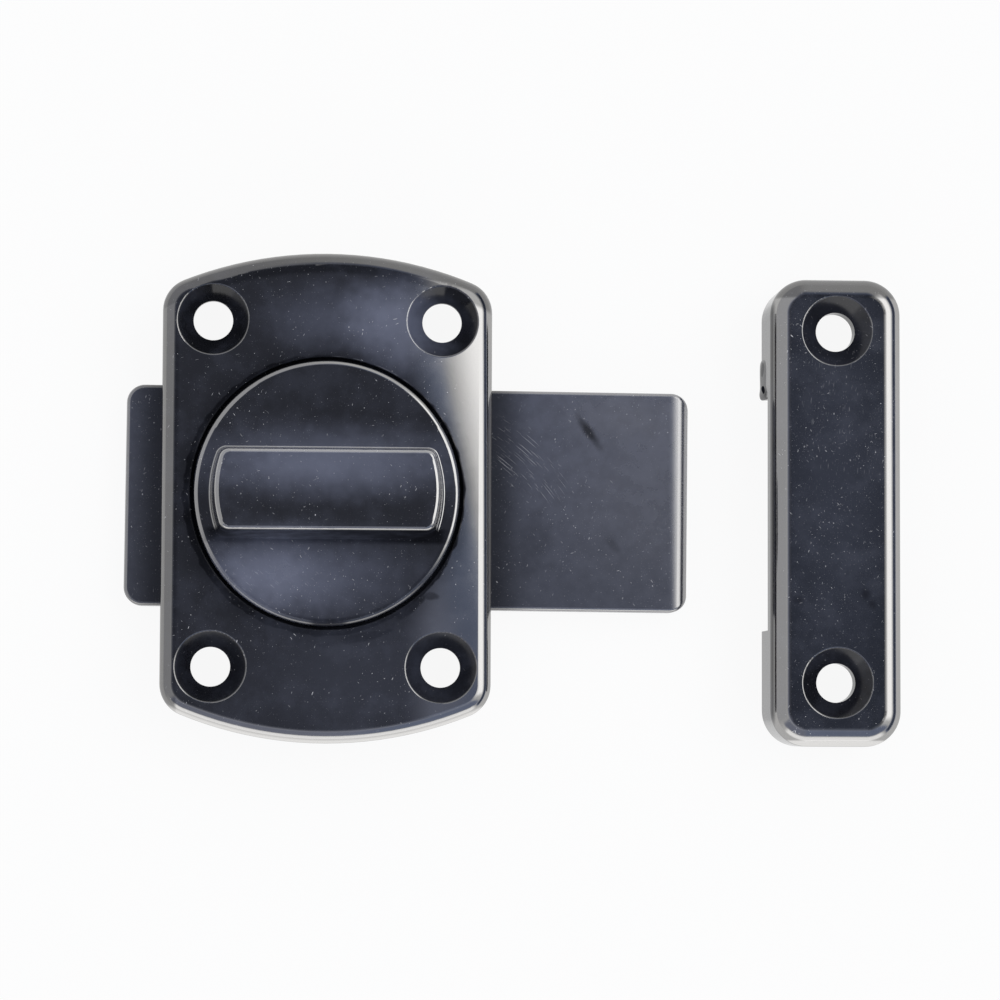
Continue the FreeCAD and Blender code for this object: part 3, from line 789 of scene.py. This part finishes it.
class DOORBOLT_OT_keeper(bpy.types.Operator):
    """Finish the keeper and model the torn edge of its mouth"""

    bl_idname = "doorbolt.keeper"
    bl_label = "Keeper"

    def execute(self, context):
        smudges = [((62.0, 2.0), (10.0, 36.0), 0.0, 0.020)]
        rub = (62.5, 9.0), (7.5, 15.0), 0.1
        plating = black_plating("keeper_black", 4.0, smudges, keeper_stains_and_painted_light, dust=1.7, rub=rub)
        dress("keeper", plating)
        make_burr(plating)
        return {"FINISHED"}


class DOORBOLT_OT_back(bpy.types.Operator):
    """Finish the back plate and its screws"""

    bl_idname = "doorbolt.back"
    bl_label = "Back plate"

    def execute(self, context):
        _, steel, _ = settings()
        dress("back_plate", zinc_steel("plate_steel", steel.plate, steel.rough, 5.0))
        dress("back_plate_screws", zinc_steel("screw_steel", steel.screw, steel.rough, 6.0))
        return {"FINISHED"}


class DOORBOLT_OT_mechanism(bpy.types.Operator):
    """Finish the crank, its pin, the knob screw and the spring washer"""

    bl_idname = "doorbolt.mechanism"
    bl_label = "Mechanism"

    def execute(self, context):
        _, steel, _ = settings()
        dress("crank", zinc_steel("crank_steel", steel.crank, steel.rough, 7.0))
        dress("crank_pin", zinc_steel("pin_steel", steel.crank, steel.rough, 8.0))
        dress("spring_washer", zinc_steel("washer_steel", steel.crank, steel.rough, 9.0))
        dress("knob_screw", zinc_steel("knob_screw_steel", steel.screw, steel.rough, 10.0))
        return {"FINISHED"}


def make_camera(studio):
    """The camera, almost straight above, with a little turn to match the photograph."""
    place = Vector((-6.4 * MM, -28.8 * MM, studio.height))
    aim = Vector((21.567 * MM, -0.034 * MM, 0.0))
    turn = math.radians(-0.236)
    data = bpy.data.cameras.new("camera")
    data.lens = studio.lens
    data.sensor_width = 36.0
    camera = bpy.data.objects.new("camera", data)
    bpy.context.scene.collection.objects.link(camera)
    look = (aim - place).normalized()
    right = look.cross(Vector((0, 1, 0))).normalized()
    up = right.cross(look)
    roll = Matrix.Rotation(turn, 3, look)
    axes = Matrix((roll @ right, roll @ up, roll @ -look)).transposed()
    camera.matrix_world = Matrix.Translation(place) @ axes.to_4x4()
    bpy.context.scene.camera = camera


def overhead(tree, axes, height, studio):
    """The tent's brightness: its dark opening is an oval in the plane one unit up, and its cloth
    begins further out."""
    (middle_x, middle_y), (half_x, half_y) = (0.03, 0.225), (0.30, 0.50)
    across = calc(tree, "SUBTRACT", calc(tree, "DIVIDE", axes["X"], height), middle_x)
    along = calc(tree, "SUBTRACT", calc(tree, "DIVIDE", axes["Y"], height), middle_y)
    across = calc(tree, "POWER", calc(tree, "DIVIDE", across, half_x), 2.0)
    along = calc(tree, "POWER", calc(tree, "DIVIDE", along, half_y), 2.0)
    out = calc(tree, "SQRT", calc(tree, "ADD", across, along))
    return ramp(tree, out, 0.55, 1.6, studio.opening, studio.tent)


def make_tent(studio):
    """The light tent all round: dark overhead, with one lamp on the right and one in front."""
    world = bpy.data.worlds.new("tent")
    world.use_nodes = True
    bpy.context.scene.world = world
    tree = world.node_tree
    axes = axes_of(tree, tree.nodes.new("ShaderNodeTexCoord").outputs["Generated"])
    zenith = calc(tree, "ARCCOSINE", axes["Z"])
    azimuth = calc(tree, "ARCTAN2", axes["Y"], axes["X"])
    height = calc(tree, "MAXIMUM", axes["Z"], 0.02)

    def hang(level, brightness, middle, half, low, high, soft, rim):
        """The brightness with one more panel hung in the tent."""
        turned = calc(tree, "SUBTRACT", azimuth, math.radians(middle))
        from_middle = calc(tree, "ABSOLUTE", calc(tree, "WRAP", turned, math.pi, -math.pi))
        side = ramp(tree, from_middle, math.radians(half + rim), math.radians(half - rim))
        span = band(tree, zenith, math.radians(low), math.radians(high), math.radians(soft))
        mask = calc(tree, "MULTIPLY", side, span)
        rise = calc(tree, "MULTIPLY", calc(tree, "SUBTRACT", brightness, level), mask)
        return calc(tree, "ADD", level, rise)

    # each panel: brightness; direction and half width; where it begins and ends, counted from
    # straight overhead; how soft its ends and its sides are, all in degrees
    panels = [
        (0.12, 0.0, 40.0, 66.0, 88.0, 5.0, 5.0),
        (0.40, -90.0, 60.0, 18.0, 62.0, 6.0, 6.0),
        (0.68, 150.0, 60.0, 20.0, 90.0, 6.0, 12.0),
        (studio.side_lamp, 18.0, 34.0, 18.5, 57.0, 8.0, 6.0),
        (studio.front_lamp, -90.0, 42.0, 58.0, 86.0, 6.0, 6.0),
    ]
    level = overhead(tree, axes, height, studio)
    for panel in panels:
        level = hang(level, *panel)
    tree.links.new(level, tree.nodes["Background"].inputs["Strength"])
    # only what is dim has a colour, and it is colder on the right
    right = ramp(tree, calc(tree, "DIVIDE", axes["X"], height), 0.05, 0.15)
    cool = blend(tree, right, studio.cool, studio.cold)
    shade = blend(tree, ramp(tree, level, 0.3, 0.8), cool, (1.0, 1.0, 1.0))
    tree.links.new(shade, tree.nodes["Background"].inputs["Color"])


def make_floor(studio):
    """A wide pale floor that stays near white and keeps the object's shadow."""
    bpy.ops.object.select_all(action="DESELECT")
    width, below = 6.0, 0.02 * MM
    bpy.ops.mesh.primitive_plane_add(size=width, location=(0, 0, -below))
    floor = bpy.context.active_object
    floor.name = "floor"
    material = bpy.data.materials.new("floor")
    material.use_nodes = True
    tree = material.node_tree
    shader = tree.nodes["Principled BSDF"]
    shader.inputs["Base Color"].default_value = opaque(studio.floor)
    shader.inputs["Roughness"].default_value = 0.9
    path = tree.nodes.new("ShaderNodeLightPath").outputs
    seen = strongest(tree, [path[f"Is {kind} Ray"] for kind in ("Camera", "Glossy", "Transmission")])
    white = opaque((1.0, 1.0, 1.0))
    glow = add_node(tree, "ShaderNodeEmission", {"Color": white, "Strength": 1.0})
    fill = {
        "Fac": calc(tree, "MULTIPLY", seen, studio.floor_glow),
        1: shader.outputs["BSDF"],
        2: glow.outputs["Emission"],
    }
    mix = add_node(tree, "ShaderNodeMixShader", fill)
    tree.links.new(mix.outputs[0], tree.nodes["Material Output"].inputs["Surface"])
    floor.data.materials.append(material)


class DOORBOLT_OT_stage(bpy.types.Operator):
    """Set up the camera, the light tent and the floor"""

    bl_idname = "doorbolt.stage"
    bl_label = "Stage"

    def execute(self, context):
        _, _, studio = settings()
        make_camera(studio)
        make_tent(studio)
        make_floor(studio)
        context.scene.view_settings.view_transform = "Standard"
        return {"FINISHED"}


OPERATORS = (
    DOORBOLT_OT_case,
    DOORBOLT_OT_knob,
    DOORBOLT_OT_bolt,
    DOORBOLT_OT_keeper,
    DOORBOLT_OT_back,
    DOORBOLT_OT_mechanism,
    DOORBOLT_OT_stage,
)


class DOORBOLT_PT_panel(bpy.types.Panel):
    """Settings and steps of the door bolt"""

    bl_idname = "DOORBOLT_PT_panel"
    bl_label = "Door Bolt"
    bl_space_type = "VIEW_3D"
    bl_region_type = "UI"
    bl_category = "Door Bolt"

    def draw(self, context):
        for group in settings():
            box = self.layout.box()
            for name in group.__annotations__:
                box.prop(group, name)
        for operator in OPERATORS:
            self.layout.operator(operator.bl_idname)


SETTINGS = {
    "door_bolt_plating": DoorBoltPlating,
    "door_bolt_steel": DoorBoltSteel,
    "door_bolt_studio": DoorBoltStudio,
}
CLASSES = tuple(SETTINGS.values()) + OPERATORS + (DOORBOLT_PT_panel,)


def register():
    for one in CLASSES:
        bpy.utils.register_class(one)
    for name, group in SETTINGS.items():
        setattr(bpy.types.Scene, name, PointerProperty(type=group))


def unregister():
    for name in SETTINGS:
        delattr(bpy.types.Scene, name)
    for one in reversed(CLASSES):
        bpy.utils.unregister_class(one)


def main():
    """Registers the add-on and builds everything in order."""
    register()
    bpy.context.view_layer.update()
    bpy.ops.doorbolt.stage()
    bpy.ops.doorbolt.case()
    bpy.ops.doorbolt.knob()
    bpy.ops.doorbolt.bolt()
    bpy.ops.doorbolt.keeper()
    bpy.ops.doorbolt.back()
    bpy.ops.doorbolt.mechanism()


if __name__ == "__main__":
    main()
